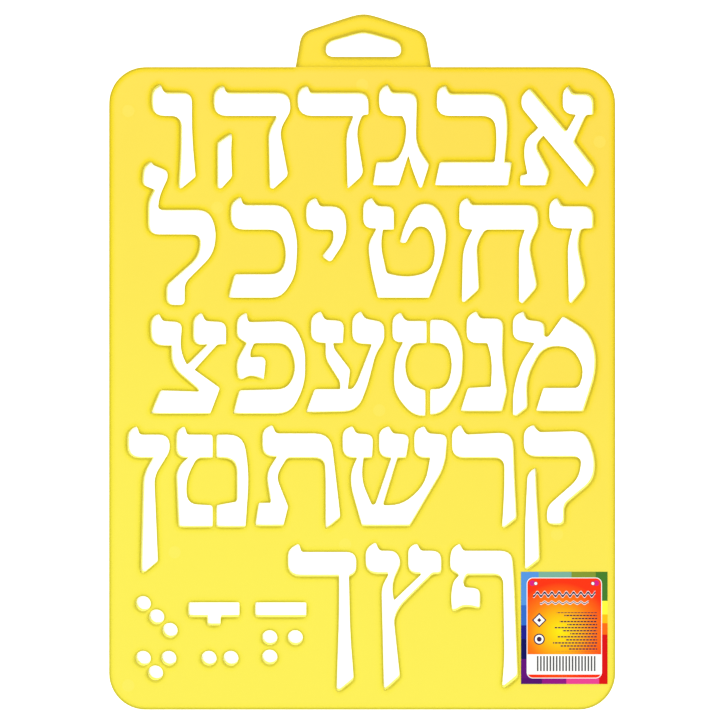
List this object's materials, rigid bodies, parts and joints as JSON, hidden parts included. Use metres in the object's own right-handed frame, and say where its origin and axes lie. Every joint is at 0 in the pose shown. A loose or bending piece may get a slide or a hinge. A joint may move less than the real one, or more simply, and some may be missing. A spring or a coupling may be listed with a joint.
{
  "type": "lettering stencil",
  "caption": "Flat translucent lettering stencil with rows of open alphabet letters, round and straight practice marks, a thinner hang tab with a slot, and a coloured paper label.",
  "frame": {"origin": "middle of the overall outline, tab included, on the resting back face", "axes": "+Z out of the front face, +Y towards the hang tab, +X to the right as the letters are read"},
  "size_m": [0.208, 0.286, 0.0022],
  "materials": {
    "plate": "smooth moulded, slightly translucent",
    "adhesive": "clear tacky film",
    "label": "coated, printed in plain colour blocks"
  },
  "bodies": {
    "root": {"stencil_plate": "plate", "label_adhesive": "adhesive", "label_face": "label"}
  },
  "joints": []
}
